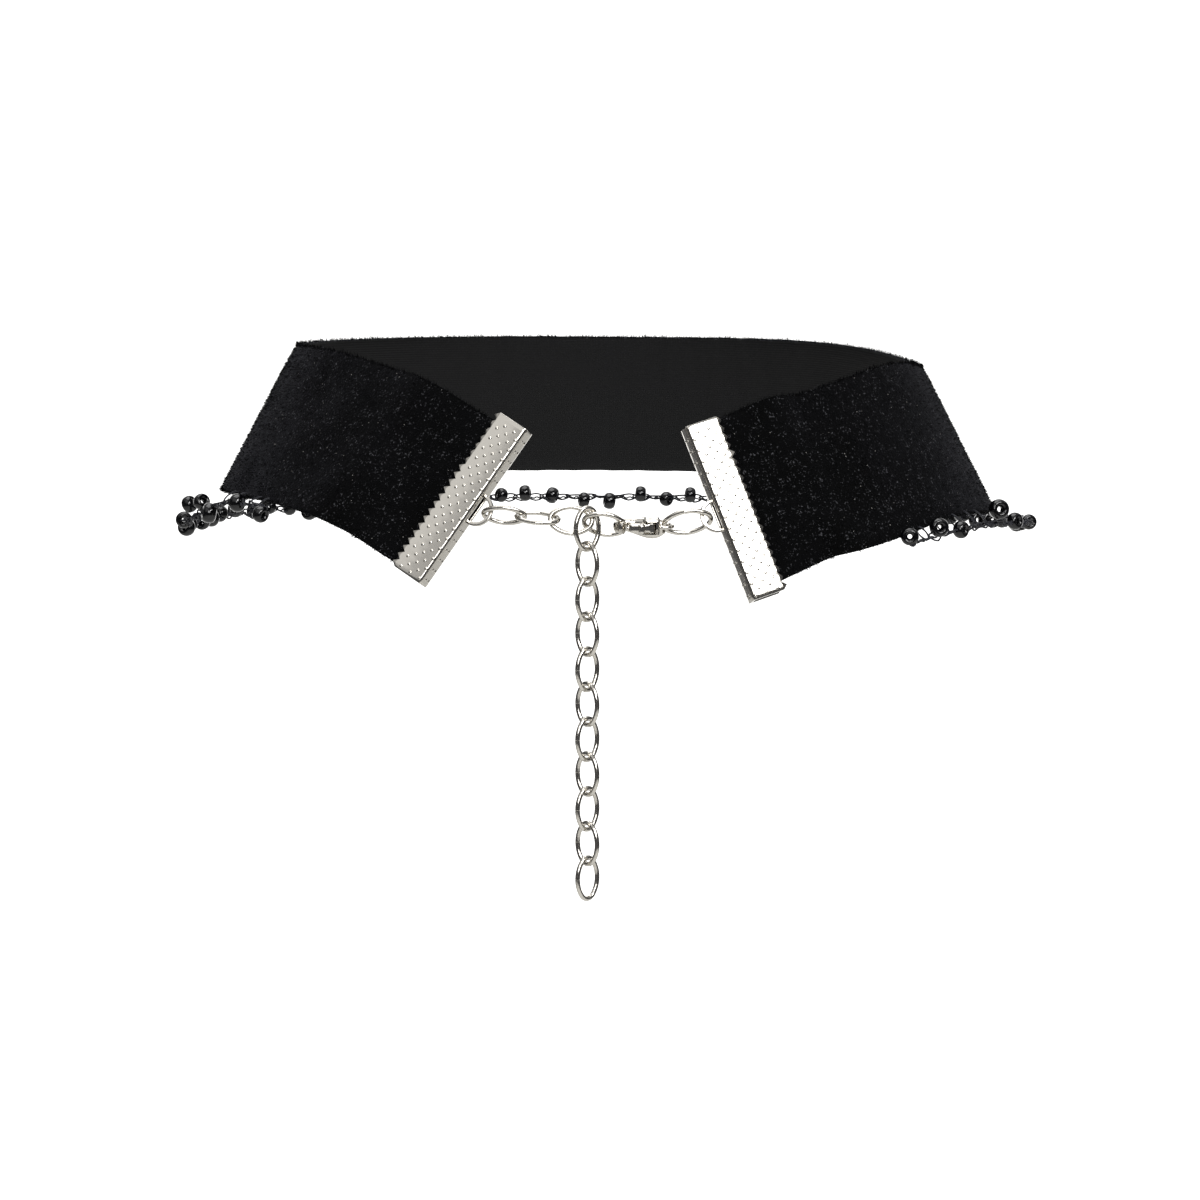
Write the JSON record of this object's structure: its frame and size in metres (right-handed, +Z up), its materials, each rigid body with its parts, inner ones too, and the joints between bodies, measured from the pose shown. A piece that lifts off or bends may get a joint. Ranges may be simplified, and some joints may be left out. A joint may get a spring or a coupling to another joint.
{
  "type": "choker necklace",
  "caption": "Black velvet ribbon choker with crimped metal ribbon ends, a lobster clasp, an extender chain and a crocheted glass bead trim.",
  "frame": {"origin": "centre of the neck loop, level with the middle of the ribbon's width at the front", "axes": "+Z up, the wearer faces -Y, the closure is at the back at +Y, +X is the wearer's left"},
  "size_m": [0.1236, 0.1123, 0.0725],
  "materials": {
    "velvet": "matte",
    "nickel": "polished",
    "beads": "gloss"
  },
  "bodies": {
    "necklace": {"velvet_ribbon": "velvet", "ribbon_clamp_left": "nickel", "ribbon_clamp_right": "nickel", "chain_link_1": "nickel", "chain_link_2": "nickel", "chain_link_3": "nickel", "chain_link_4": "nickel", "drop_link_1": "nickel", "drop_link_2": "nickel", "drop_link_3": "nickel", "drop_link_4": "nickel", "drop_link_5": "nickel", "drop_link_6": "nickel", "drop_link_7": "nickel", "drop_link_8": "nickel", "drop_link_9": "nickel", "drop_link_10": "nickel", "drop_link_11": "nickel", "end_link": "nickel", "clasp_body": "nickel", "bead_trim": "beads"},
    "lever": {"clasp_lever": "nickel"}
  },
  "joints": [
    {"name": "lever_hinge", "type": "hinge", "parent": "necklace", "child": "lever", "pos_m": [-0.00548, 0.04887, -0.00872], "axis": [0, -0.0872, -0.9962], "range_deg": [0, 28], "stiffness_Nm_per_rad": 0.00004, "springref_deg": -20.05}
  ]
}
